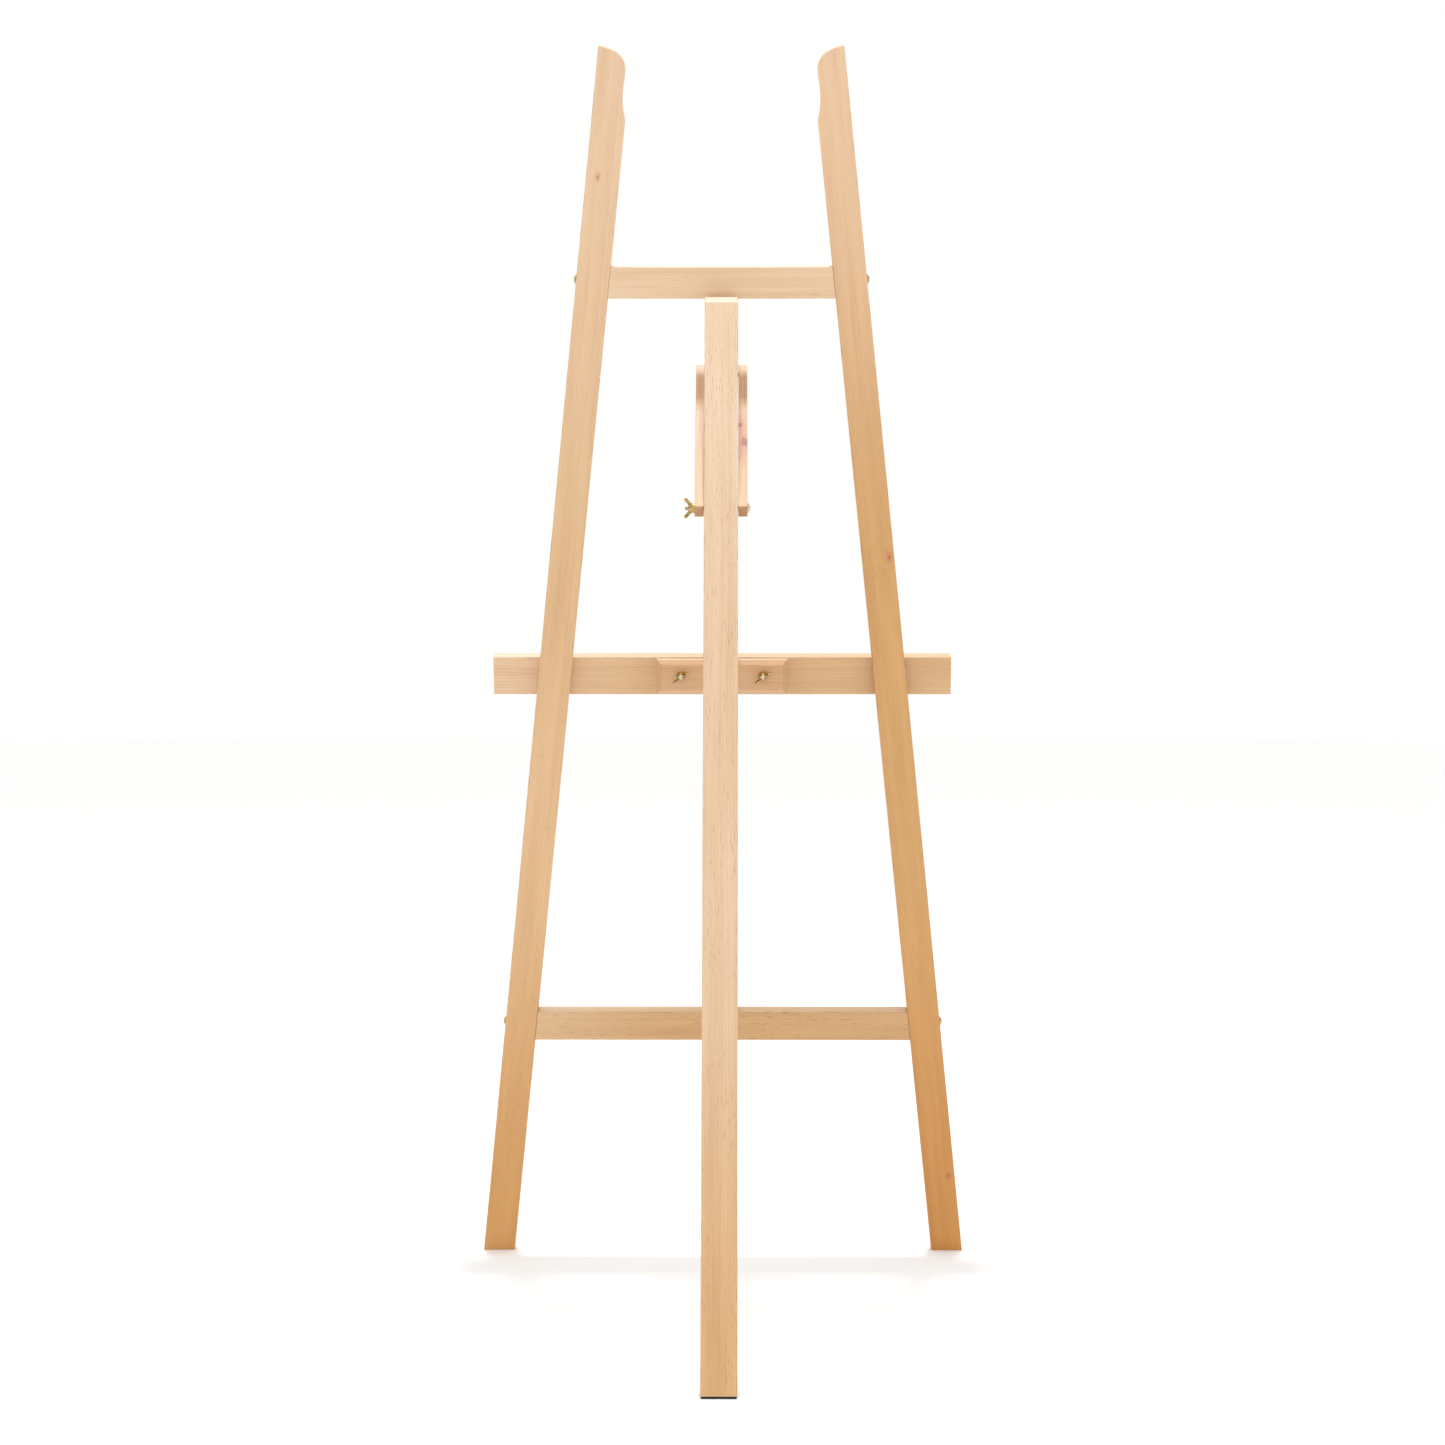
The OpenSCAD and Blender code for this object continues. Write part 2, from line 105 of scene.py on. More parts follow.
class Graph:
    """Adds shader nodes one after another, and wires or sets their inputs.

    A value is either another node's output or a constant.
    """

    def __init__(self, tree):
        self.tree = tree
        self.count = 0

    def add(self, kind, inputs=None, out=0, **settings):
        made = self.tree.nodes.new("ShaderNode" + kind)
        made.location = (190 * (self.count % 12), -260 * (self.count // 12))
        self.count += 1
        for name, value in settings.items():
            setattr(made, name, value)
        for key, value in (inputs or {}).items():
            self.feed(made.inputs[key], value)
        return made.outputs[out]

    def feed(self, socket, value):
        if isinstance(value, bpy.types.NodeSocket):
            self.tree.links.new(value, socket)
        else:
            socket.default_value = value

    def math(self, operation, *values, clamp=False):
        return self.add("Math", dict(enumerate(values)), operation=operation, use_clamp=clamp)

    def vector(self, operation, *values, out=0):
        return self.add("VectorMath", dict(enumerate(values)), operation=operation, out=out)

    def scaled(self, vector, *scale):
        return self.vector("MULTIPLY", vector, scale)

    def attribute(self, name, out=2):
        return self.add("Attribute", out=out, attribute_name=name)

    def noise(self, vector, detail=2.0, roughness=0.5):
        """Noise about zero, from -0.5 to 0.5."""
        value = self.add("TexNoise", {"Vector": vector, "Scale": 1.0, "Detail": detail,
                                      "Roughness": roughness})
        return self.math("SUBTRACT", value, 0.5)

    def step(self, value, low, high):
        """0 at low, 1 at high, smooth between."""
        return self.add("MapRange", {"Value": value, "From Min": low, "From Max": high},
                        interpolation_type="SMOOTHSTEP")

    def mix(self, share, a, b, blend="MIX"):
        return self.add("Mix", {0: share, 6: a, 7: b}, out=2, data_type="RGBA",
                        blend_type=blend)


def linear(red, green, blue):
    """Display colour, 0 to 255, as a linear one."""
    def one(v):
        v /= 255
        return v / 12.92 if v <= 0.04045 else ((v + 0.055) / 1.055) ** 2.4
    return (one(red), one(green), one(blue), 1.0)


# ---- Wood ----

# A knot is left out by placing it far off the piece
KNOT_AWAY = (0.0, 0.0, 9000.0)

# Colour of a knot's core, and tints that multiply the wood's colour
KNOT_CORE = (0.30, 0.066, 0.016, 1)
FLECK_TINT = (0.56, 0.41, 0.31, 1)
END_TINT = (0.70, 0.56, 0.43, 1)
KNOT_TINT = (0.78, 0.44, 0.30, 1)
# Painted highlight: paler, bluer tint for faces that look up
PAINTED_SHEEN_TINT = (1.03, 1.13, 1.30, 1)
RUBBED_TINT = (1.07, 1.05, 1.03, 1)
GRIME_TINT = (0.86, 0.80, 0.74, 1)

WOOD_INPUTS = (
    ("Offset", "NodeSocketVector", (0, 0, 0)),
    ("Pith", "NodeSocketVector", (-60, 12, 0)),
    ("Light Tone", "NodeSocketColor", (0.8, 0.6, 0.4, 1)),
    ("Deep Tone", "NodeSocketColor", (0.6, 0.35, 0.2, 1)),
    # The low and foot tones below darken the lower part; on the legs this is painted shade
    ("Low Tone And Shade", "NodeSocketColor", (1, 1, 1, 1)),
    ("Foot Shade", "NodeSocketColor", (1, 1, 1, 1)),
    ("Half Length", "NodeSocketFloat", 500.0),
    ("Rings", "NodeSocketFloat", 0.3),
    ("Ring Gap", "NodeSocketFloat", 3.0),
    ("Sway", "NodeSocketFloat", 4.0),
    ("Flecks", "NodeSocketFloat", 0.4),
    ("Knot A", "NodeSocketVector", KNOT_AWAY),
    ("Knot A Size", "NodeSocketFloat", 1.5),
    ("Knot B", "NodeSocketVector", KNOT_AWAY),
    ("Knot B Size", "NodeSocketFloat", 1.5),
)


def wood_group():
    """Beech: growth rings round a pith, fibres along Z, ray flecks, knots, end grain, worn arrises.

    Lengths are in mm in the piece's own frame, which the grain attribute holds.
    """
    group = bpy.data.node_groups.new("beech", "ShaderNodeTree")
    for name, kind, value in WOOD_INPUTS:
        made = group.interface.new_socket(name, in_out="INPUT", socket_type=kind)
        made.default_value = value
    for name, kind in (("Color", "NodeSocketColor"), ("Roughness", "NodeSocketFloat"),
                       ("Normal", "NodeSocketVector")):
        group.interface.new_socket(name, in_out="OUTPUT", socket_type=kind)
    g = Graph(group)
    given = group.nodes.new("NodeGroupInput").outputs
    result = group.nodes.new("NodeGroupOutput").inputs

    own = g.attribute("grain", out=1)
    spot = g.vector("ADD", own, given["Offset"])

    # Slow sideways drift of the fibres along the length
    drift = g.add("TexNoise", {"Vector": g.scaled(spot, 0.012, 0.012, 0.0042), "Scale": 1.0,
                               "Detail": 2.0}, out=1)
    drift = g.vector("MULTIPLY", g.vector("SUBTRACT", drift, (0.5, 0.5, 0.5)), (1, 1, 0))
    drift = g.vector("SCALE", drift)
    g.feed(drift.node.inputs["Scale"], given["Sway"])
    warped = g.vector("ADD", spot, drift)

    # Knots: each is a lumpy core in a halo, which bends the rings
    lumpy = g.noise(g.scaled(spot, 0.22, 0.22, 0.12), detail=2.0)

    def knot(at, size):
        away = g.scaled(g.vector("SUBTRACT", own, given[at]), 1.0, 1.0, 0.6)
        span = g.math("DIVIDE", g.vector("LENGTH", away, out=1), given[size])
        span = g.math("MULTIPLY", span, g.math("MULTIPLY_ADD", lumpy, 1.1, 1.0))
        return g.step(span, 1.0, 0.55), g.step(span, 5.0, 0.8)

    core_a, halo_a = knot("Knot A", "Knot A Size")
    core_b, halo_b = knot("Knot B", "Knot B Size")
    core = g.math("MAXIMUM", core_a, core_b)
    halo = g.math("MAXIMUM", halo_a, halo_b)

    # Growth rings
    across = g.vector("MULTIPLY", g.vector("SUBTRACT", warped, given["Pith"]), (1, 1, 0))
    radius = g.vector("LENGTH", across, out=1)
    turn = g.math("DIVIDE", radius, given["Ring Gap"])
    uneven = g.noise(g.add("CombineXYZ", {0: g.math("MULTIPLY", turn, 0.45)}), detail=1.0)
    turn = g.math("ADD", turn, g.math("MULTIPLY", uneven, 1.6))
    turn = g.math("ADD", turn, g.math("MULTIPLY", halo, 1.4))
    part = g.math("FRACT", turn)
    late = g.math("MULTIPLY", g.math("POWER", part, 3.0), g.step(part, 1.0, 0.93))
    each = g.add("TexWhiteNoise", {"W": g.math("FLOOR", turn)}, noise_dimensions="1D")
    late = g.math("MULTIPLY", late, g.math("MULTIPLY_ADD", each, 0.9, 0.35))

    # Fibres, streaks and broad patches
    fibre = g.noise(g.scaled(warped, 2.6, 2.6, 0.05), detail=3.0, roughness=0.6)
    streak = g.noise(g.scaled(warped, 0.55, 0.55, 0.006), detail=2.0)
    broad = g.noise(g.scaled(warped, 0.06, 0.06, 0.0035), detail=2.0)

    # Ray flecks: short dark spindles, in drifts
    grid = g.scaled(warped, 0.85, 0.85, 0.05)
    cell = g.add("TexVoronoi", {"Vector": grid, "Scale": 1.0}, feature="F1")
    pick = g.add("SeparateColor", {0: g.add("TexVoronoi", {"Vector": grid, "Scale": 1.0},
                                            out=1, feature="F1")})
    fleck = g.math("MULTIPLY", g.step(cell, 0.36, 0.14), g.step(pick, 0.5, 0.38))
    crowd = g.step(g.noise(g.scaled(warped, 0.03, 0.03, 0.009)), -0.16, 0.14)
    fleck = g.math("MULTIPLY", fleck, g.math("MULTIPLY_ADD", crowd, 0.85, 0.15))
    fleck = g.math("MULTIPLY", fleck, given["Flecks"])

    cut = g.step(g.attribute("cut"), 0.6, 0.9)
    flank = g.math("SUBTRACT", 1.0, cut)

    shade = g.math("MULTIPLY", late, given["Rings"])
    shade = g.math("MULTIPLY_ADD", streak, 0.42, shade)
    shade = g.math("MULTIPLY_ADD", broad, 0.85, shade)
    shade = g.math("MULTIPLY_ADD", g.math("MULTIPLY", fibre, flank), 0.34, shade)
    shade = g.math("ADD", shade, 0.30, clamp=True)
    color = g.mix(shade, given["Light Tone"], given["Deep Tone"])
    color = g.mix(g.math("MULTIPLY", fleck, flank), color, FLECK_TINT, "MULTIPLY")

    # Darker towards the low end of the piece, and more so at its foot: on the legs this is painted shade, as the
    # light falls off towards the floor
    height = g.math("DIVIDE", g.add("SeparateXYZ", {0: own}, out=2), given["Half Length"])
    color = g.mix(g.step(height, 0.95, 0.15), color, given["Low Tone And Shade"], "MULTIPLY")
    color = g.mix(g.step(height, -0.25, -0.92), color, given["Foot Shade"], "MULTIPLY")

    # End grain drinks more oil
    color = g.mix(g.math("MULTIPLY", cut, 0.85), color, END_TINT, "MULTIPLY")

    color = g.mix(g.math("MULTIPLY", halo, 0.55), color, KNOT_TINT, "MULTIPLY")
    color = g.mix(g.math("MULTIPLY", core, 0.88), color, KNOT_CORE)

    # Painted highlight: faces that look up are made paler and bluer, standing in for the sheen of the overhead
    # light
    color = g.mix(g.step(g.attribute("up"), 0.5, 0.95), color, PAINTED_SHEEN_TINT, "MULTIPLY")

    # Arrises rubbed paler, with grime in places
    edge = g.attribute("arris")
    rub = g.noise(g.scaled(spot, 0.25, 0.25, 0.05), detail=3.0)
    rubbed = g.math("MULTIPLY", edge, g.step(rub, -0.1, 0.2))
    color = g.mix(rubbed, color, RUBBED_TINT, "MULTIPLY")
    grimy = g.math("MULTIPLY", edge, g.step(rub, 0.02, -0.2))
    color = g.mix(grimy, color, GRIME_TINT, "MULTIPLY")

    rough = g.math("MULTIPLY_ADD", fibre, 0.16, 0.40)
    rough = g.math("MULTIPLY_ADD", cut, 0.18, rough)
    rough = g.math("MULTIPLY_ADD", edge, -0.10, rough)
    rough = g.math("MULTIPLY_ADD", core, -0.12, rough, clamp=True)

    relief = g.math("MULTIPLY_ADD", fleck, -0.5, g.math("MULTIPLY", fibre, 0.9))
    relief = g.math("MULTIPLY_ADD", late, -0.25, relief)
    relief = g.math("MULTIPLY_ADD", core, -1.2, relief)
    bump = g.add("Bump", {"Height": relief, "Strength": 0.35, "Distance": 0.12 * MM})

    for name, value in (("Color", color), ("Roughness", rough), ("Normal", bump)):
        group.links.new(value, result[name])
    return group


BEECH = wood_group()


def surface(name):
    """New material: its graph and its surface shader."""
    material = bpy.data.materials.new(name)
    material.use_nodes = True
    shader = material.node_tree.nodes["Principled BSDF"]
    return material, Graph(material.node_tree), shader.inputs


def wood(name, **values):
    """Oiled beech, with the group's inputs given by name in lower case."""
    material, g, shader = surface(name)
    made = material.node_tree.nodes.new("ShaderNodeGroup")
    made.node_tree = BEECH
    for key, value in values.items():
        made.inputs[key.replace("_", " ").title()].default_value = value
    for mine, theirs in (("Color", "Base Color"), ("Roughness", "Roughness"),
                         ("Normal", "Normal")):
        g.feed(shader[theirs], made.outputs[mine])
    shader["Specular IOR Level"].default_value = 0.5
    shader["Coat Weight"].default_value = 0.12
    shader["Coat Roughness"].default_value = 0.3
    return material


def metal(name, tone, tarnish, rough, scratch):
    """Plated or polished metal with cloudy tarnish, fine scratches and rubbed edges."""
    material, g, shader = surface(name)
    place = g.attribute("grain", out=1)
    cloud = g.step(g.noise(g.scaled(place, 0.35, 0.35, 0.35), detail=4.0), -0.12, 0.2)
    fine = g.noise(g.scaled(place, 6.0, 0.7, 0.7), detail=2.0, roughness=0.7)
    speck = g.step(g.noise(g.scaled(place, 2.2, 2.2, 2.2), detail=3.0), 0.14, 0.26)
    edge = g.attribute("arris")
    color = g.mix(cloud, tone, tarnish)
    color = g.mix(g.math("MULTIPLY", speck, 0.6), color, (0.45, 0.36, 0.28, 1), "MULTIPLY")
    color = g.mix(g.math("MULTIPLY", edge, 0.5), color, (1.1, 1.1, 1.12, 1), "MULTIPLY")
    dull = g.math("MULTIPLY_ADD", cloud, 0.14, rough)
    dull = g.math("MULTIPLY_ADD", fine, scratch, dull)
    dull = g.math("MULTIPLY_ADD", speck, 0.25, dull)
    dull = g.math("MULTIPLY_ADD", edge, -0.06, dull, clamp=True)
    relief = g.math("MULTIPLY_ADD", speck, -0.6, g.math("MULTIPLY", fine, 0.5))
    g.feed(shader["Base Color"], color)
    g.feed(shader["Roughness"], dull)
    g.feed(shader["Normal"], g.add("Bump", {"Height": relief, "Strength": 0.2,
                                            "Distance": 0.04 * MM}))
    shader["Metallic"].default_value = 1.0
    return material


def rubber(name):
    """Black rubber with a fine grain, dusty in patches and paler at its edges."""
    material, g, shader = surface(name)
    place = g.attribute("grain", out=1)
    grain = g.noise(g.scaled(place, 2.5, 2.5, 2.5), detail=4.0, roughness=0.65)
    dust = g.step(g.noise(g.scaled(place, 0.12, 0.12, 0.3), detail=4.0), -0.05, 0.3)
    edge = g.attribute("arris")
    color = g.mix(g.math("MULTIPLY", dust, 0.5), (0.018, 0.017, 0.017, 1),
                  (0.075, 0.066, 0.058, 1))
    color = g.mix(g.math("MULTIPLY", edge, 0.4), color, (0.09, 0.085, 0.08, 1))
    g.feed(shader["Base Color"], color)
    g.feed(shader["Roughness"], g.math("MULTIPLY_ADD", grain, 0.2, 0.78, clamp=True))
    g.feed(shader["Normal"], g.add("Bump", {"Height": grain, "Strength": 0.4,
                                            "Distance": 0.1 * MM}))
    shader["Specular IOR Level"].default_value = 0.3
    return material


# ---- Meshes ----

BODY_OF = {node: body for body, nodes in frame["record"]["behaviour"]["bodies"].items()
           for node in nodes}


def positive(direction):
    """The direction, or its opposite if its longest part points down, left or forwards."""
    return -direction if max(direction, key=abs) < 0 else direction


def bar_frame(node):
    """Frame of a straight piece: Z along it, Y out of its widest face, origin at its middle."""
    mesh = frame["nodes"][node].data
    faces = []
    for face in mesh.polygons:
        for entry in faces:
            if abs(face.normal.dot(entry[0])) > SAME_WAY:
                entry[1] += face.area
                break
        else:
            faces.append([face.normal.copy(), face.area])
    faces.sort(key=lambda entry: -entry[1])
    wide = positive(faces[0][0].normalized())
    side = next(n for n, _ in faces[1:] if abs(n.dot(wide)) < ACROSS)
    along = positive(wide.cross(side).normalized())
    turned = Matrix((wide.cross(along), wide, along)).transposed()
    local = [turned.inverted() @ v.co for v in mesh.vertices]
    middle = Vector([(min(p[i] for p in local) + max(p[i] for p in local)) / 2
                     for i in range(3)])
    return Matrix.Translation(turned @ middle) @ turned.to_4x4()


def half_length(node, into):
    """How far a piece reaches along Z from the middle of its own frame."""
    back = into.inverted()
    return max(abs((back @ v.co).z) for v in frame["nodes"][node].data.vertices)


def welded(node, into):
    """Clean mesh of a CAD node in its own frame, with flat faces joined up."""
    source = frame["nodes"][node].data
    plain = bpy.data.meshes.new(node)
    back = into.inverted()
    plain.from_pydata([back @ v.co for v in source.vertices], [],
                      [tuple(p.vertices) for p in source.polygons])
    work = bmesh.new()
    work.from_mesh(plain)
    bmesh.ops.remove_doubles(work, verts=work.verts, dist=WELD_GAP)
    bmesh.ops.dissolve_limit(work, angle_limit=FLAT_ANGLE, verts=work.verts, edges=work.edges)
    bpy.data.meshes.remove(plain)
    return work


def edge_chains(work):
    """Groups of sharp edges that hang together."""
    sharp = {e for e in work.edges if len(e.link_faces) == 2
             and e.calc_face_angle(0) > CORNER_ANGLE}
    chains = []
    while sharp:
        chain, todo = [], [sharp.pop()]
        while todo:
            edge = todo.pop()
            chain.append(edge)
            for vert in edge.verts:
                for other in vert.link_edges:
                    if other in sharp:
                        sharp.remove(other)
                        todo.append(other)
        chains.append(chain)
    return chains


def chain_size(chain):
    """Diagonal of the box round a group of edges."""
    points = [v.co for e in chain for v in e.verts]
    spans = [max(p[i] for p in points) - min(p[i] for p in points) for i in range(3)]
    return Vector(spans).length


def shaded(obj):
    """Marks creases, smooths the rest, and keeps wide faces flat."""
    mesh = obj.data
    work = bmesh.new()
    work.from_mesh(mesh)
    for edge in work.edges:
        edge.smooth = len(edge.link_faces) == 2 and edge.calc_face_angle(0) < SHARP_ANGLE
    work.to_mesh(mesh)
    work.free()
    mesh.polygons.foreach_set("use_smooth", [True] * len(mesh.polygons))
    normals = obj.modifiers.new("normals", "WEIGHTED_NORMAL")
    normals.keep_sharp = True
    return obj


def placed(name, mesh, into, material, body, stands_for=()):
    """Piece made from a mesh drawn in its own frame: it rides on its body and stands for CAD nodes.

    The mesh keeps its own coordinates in mm as grain, how squarely a face is cut across Z as
    cut, and how far it looks up as up.
    """
    points = np.empty(len(mesh.vertices) * 3)
    mesh.vertices.foreach_get("co", points)
    mesh.attributes.new("grain", "FLOAT_VECTOR", "POINT").data.foreach_set("vector", points / MM)
    mesh.attributes.new("cut", "FLOAT", "FACE").data.foreach_set(
        "value", [abs(p.normal.z) for p in mesh.polygons])
    mesh.transform(into)
    mesh.attributes.new("up", "FLOAT", "FACE").data.foreach_set(
        "value", [max(0.0, p.normal.z) for p in mesh.polygons])
    obj = bpy.data.objects.new(name, mesh)
    bpy.context.scene.collection.objects.link(obj)
    obj.data.materials.clear()
    obj.data.materials.append(material)
    shaded(obj)
    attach(obj, body)
    if stands_for:
        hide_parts(*stands_for)
    return obj


def rounded(node, into, width, low_end=END_SHARE, high_end=END_SHARE, hole=HOLE_SIZE):
    """Mesh of a CAD node with its outer edges rounded; the roundings carry arris = 1.

    The rims of openings smaller than hole stay sharp. Edges across Z at either end are rounded
    by their own share of the width.
    """
    work = welded(node, into)
    weight = work.edges.layers.float.new("bevel_weight_edge")
    for chain in edge_chains(work):
        if chain_size(chain) < hole:
            continue
        for edge in chain:
            a, b = (v.co for v in edge.verts)
            level = abs((a - b).normalized().z) < ACROSS
            end = low_end if (a.z + b.z) < 0 else high_end
            edge[weight] = end if level else 1.0
    # Faces with many corners or openings fold over in the bevel unless they are divided first
    wide_faces = [f for f in work.faces if len(f.verts) > 4]
    bmesh.ops.triangulate(work, faces=wide_faces, ngon_method="BEAUTY")
    mesh = bpy.data.meshes.new(node)
    work.to_mesh(mesh)
    work.free()
    # The bevel puts the roundings in the second of two empty material slots
    for _ in range(2):
        mesh.materials.append(None)
    carrier = bpy.data.objects.new(node + "_carrier", mesh)
    bpy.context.scene.collection.objects.link(carrier)
    bevel = carrier.modifiers.new("arris", "BEVEL")
    bevel.limit_method = "WEIGHT"
    bevel.width = width
    bevel.segments = ARRIS_STEPS
    bevel.use_clamp_overlap = False
    bevel.loop_slide = False
    bevel.material = 1
    seen = carrier.evaluated_get(bpy.context.evaluated_depsgraph_get())
    result = bpy.data.meshes.new_from_object(seen)
    bpy.data.objects.remove(carrier)
    bpy.data.meshes.remove(mesh)
    marks = [float(p.material_index == 1) for p in result.polygons]
    result.attributes.new("arris", "FLOAT", "FACE").data.foreach_set("value", marks)
    result.polygons.foreach_set("material_index", [0] * len(result.polygons))
    return result


# ---- Timber ----

# Early and late wood of untinted beech
PALE = linear(236, 202, 166)
WARM = linear(206, 160, 116)


def tinted(color, red, green, blue):
    """A linear colour with each of its parts multiplied."""
    return (color[0] * red, color[1] * green, color[2] * blue, 1.0)


# Each piece was cut from its own board, so each has its own tint, grain and flecks. The pith and
# the knots are placed in mm in the piece's own frame.
# On the legs, the darker tones towards the foot are painted shade
TIMBERS = {
    "front_leg_left": dict(width=LEG_ARRIS, high_end=1.0, tint=(1.0, 1.02, 1.06),
                           low_tone_and_shade=(0.90, 0.84, 0.68, 1), foot_shade=(0.88, 0.70, 0.42, 1),
                           pith=(-70, 20, 0), rings=0.26, flecks=0.45,
                           knot_a=(6.5, 12, 700), knot_a_size=1.2),
    "front_leg_right": dict(width=LEG_ARRIS, high_end=1.0, tint=(1.0, 1.0, 1.0),
                            low_tone_and_shade=(0.79, 0.64, 0.36, 1), foot_shade=(0.92, 0.75, 0.48, 1),
                            pith=(52, 38, 0), rings=0.22, flecks=0.4,
                            knot_a=(-15.5, 12, 176), knot_a_size=1.5,
                            knot_b=(-13, 12, -748), knot_b_size=1.2),
    "top_rail": dict(width=BOARD_ARRIS, tint=(1.0, 1.05, 1.09), pith=(14, -60, 0),
                     rings=0.2, flecks=0.4),
    "lower_rail": dict(width=BOARD_ARRIS, tint=(0.82, 0.77, 0.64),
                       low_tone_and_shade=(0.91, 0.83, 0.70, 1), pith=(-8, -46, 0), rings=0.34,
                       flecks=1.0),
    "mast": dict(width=BOARD_ARRIS, tint=(1, 1, 1), pith=(44, -30, 0), rings=0.25,
                 flecks=0.5),
    "rear_leg": dict(width=LEG_ARRIS, tint=(0.98, 1.07, 1.2),
                     low_tone_and_shade=(0.92, 0.87, 0.80, 1), foot_shade=(0.90, 0.76, 0.55, 1),
                     pith=(10, -34, 0), rings=0.3, ring_gap=3.6, sway=9.0, flecks=0.8),
    "brace_arm_left": dict(width=ARM_ARRIS, hole=SLOT_SIZE, tint=(0.86, 0.83, 0.77),
                           pith=(-26, 18, 0), rings=0.3, flecks=0.3),
    "brace_arm_right": dict(width=ARM_ARRIS, hole=SLOT_SIZE, tint=(0.82, 0.76, 0.68),
                            pith=(-17, 4, 0), rings=0.5, flecks=0.3,
                            knot_a=(-10.5, -2, -15), knot_a_size=6.5,
                            knot_b=(-10.5, 4, 16), knot_b_size=3.5),
    "tray_back_board": dict(width=BOARD_ARRIS, tint=(0.95, 0.97, 0.96),
                            low_tone_and_shade=(0.91, 0.84, 0.70, 1), pith=(-12, -40, 0),
                            rings=0.36, ring_gap=3.8, sway=10.0, flecks=0.35),
    "tray_ledge": dict(width=BOARD_ARRIS, tint=(0.95, 0.95, 0.92), pith=(30, 24, 0),
                       rings=0.3, flecks=0.4),
    "tray_lip": dict(width=SLAT_ARRIS, tint=(0.94, 0.92, 0.86), pith=(6, -30, 0),
                     rings=0.3, flecks=0.4),
    "clamp_block": dict(width=SLAT_ARRIS, tint=(0.80, 0.71, 0.60), pith=(-20, 30, 0),
                        rings=0.3, ring_gap=3.4, sway=7.0, flecks=0.25),
}
SHAPE_KEYS = ("width", "high_end", "hole")
# Step in mm from one piece to the next through the wood's noise, so that no two are alike
GRAIN_STEP = (137.0, 71.0, 913.0)

for number, (node, choice) in enumerate(TIMBERS.items()):
    into = bar_frame(node)
    shape = {key: choice[key] for key in SHAPE_KEYS if key in choice}
    looks = {key: value for key, value in choice.items() if key not in shape}
    tint = looks.pop("tint")
    looks.update(light_tone=tinted(PALE, *tint), deep_tone=tinted(WARM, *tint),
                 offset=[step * number for step in GRAIN_STEP],
                 half_length=half_length(node, into) / MM)
    placed(node + "_timber", rounded(node, into, **shape), into, wood(node + "_beech", **looks),
           BODY_OF[node], [node])

dowel_wood = wood("dowel_beech_oiled", light_tone=linear(226, 188, 146),
                  deep_tone=linear(190, 142, 98), rings=0.2, flecks=0.3)


# ---- Turned parts ----

def solids_of(node):
    """The separate solids of a CAD node, each as its points and its axis of turning."""
    work = welded(node, Matrix())
    left, found = set(work.verts), []
    while left:
        group, todo = set(), [left.pop()]
        while todo:
            vert = todo.pop()
            group.add(vert)
            for edge in vert.link_edges:
                other = edge.other_vert(vert)
                if other in left:
                    left.remove(other)
                    todo.append(other)
        faces = [f for f in work.faces if f.verts[0] in group]
        areas = np.array([f.calc_area() for f in faces])
        normals = np.array([f.normal for f in faces])
        values, axes = np.linalg.eigh(np.einsum("i,ij,ik->jk", areas, normals, normals))
        odd = 0 if values[1] - values[0] > values[2] - values[1] else 2
        found.append((np.array([v.co for v in group]), axes[:, odd], surface_middle(faces)))
    work.free()
    return sorted(found, key=lambda solid: tuple(solid[2]))


def surface_middle(faces):
    """Centre of a closed surface by area."""
    total, area = Vector(), 0.0
    for face in faces:
        first = face.verts[0].co
        for a, b in zip(face.verts[1:], face.verts[2:]):
            weight = (a.co - first).cross(b.co - first).dot(face.normal) / 2
            total += (first + a.co + b.co) / 3 * weight
            area += weight
    return np.array(total / area)


def along_and_off(points, axis, middle):
    """How far each point lies along an axis through middle, and how far off it."""
    run = (points - middle) @ axis
    return run, np.linalg.norm(points - middle - np.outer(run, axis), axis=1)


def frame_at(axis, origin):
    """Frame with Z along axis."""
    into = Vector(axis).to_track_quat("Z", "Y").to_matrix().to_4x4()
    into.translation = Vector(origin)
    return into


def headed_frame(solid):
    """Frame of a bolt or screw: Z from the widest ring of its head to its tip. Also its sizes."""
    points, axis, middle = solid
    run, reach = along_and_off(points, axis, middle)
    head = reach > reach.max() * 0.985
    if run[head].mean() > 0:
        axis, run = -axis, -run
    seat = run[head].max()
    shank = reach[run > run.max() - 0.3 * MM].max()
    sizes = dict(head=reach.max(), tip=run.max() - seat, shank=shank)
    return frame_at(axis, middle + axis * seat), sizes


def pin_frame(solid):
    """Frame of a plain pin or ring at its middle, with its radii and half length."""
    points, axis, middle = solid
    run, reach = along_and_off(points, axis, middle)
    return frame_at(axis, middle), reach.max(), reach.min(), run.max()


def lathe(rings, sides=TURNED_SIDES):
    """Closed mesh from rings (height, radius), where a radius may be a function of the angle."""
    work = bmesh.new()
    rows = []
    for height, radius in rings:
        if radius == 0:
            rows.append([work.verts.new((0, 0, height))])
            continue
        row = []
        for i in range(sides):
            angle = 2 * math.pi * i / sides
            r = radius(angle) if callable(radius) else radius
            row.append(work.verts.new((r * math.cos(angle), r * math.sin(angle), height)))
        rows.append(row)
    for low, high in zip(rows, rows[1:]):
        for i in range(sides):
            j = (i + 1) % sides
            ring = [low[i % len(low)], low[j % len(low)], high[j % len(high)],
                    high[i % len(high)]]
            work.faces.new(list(dict.fromkeys(ring)))
    bmesh.ops.recalc_face_normals(work, faces=work.faces)
    mesh = bpy.data.meshes.new("turned")
    work.to_mesh(mesh)
    work.free()
    return mesh


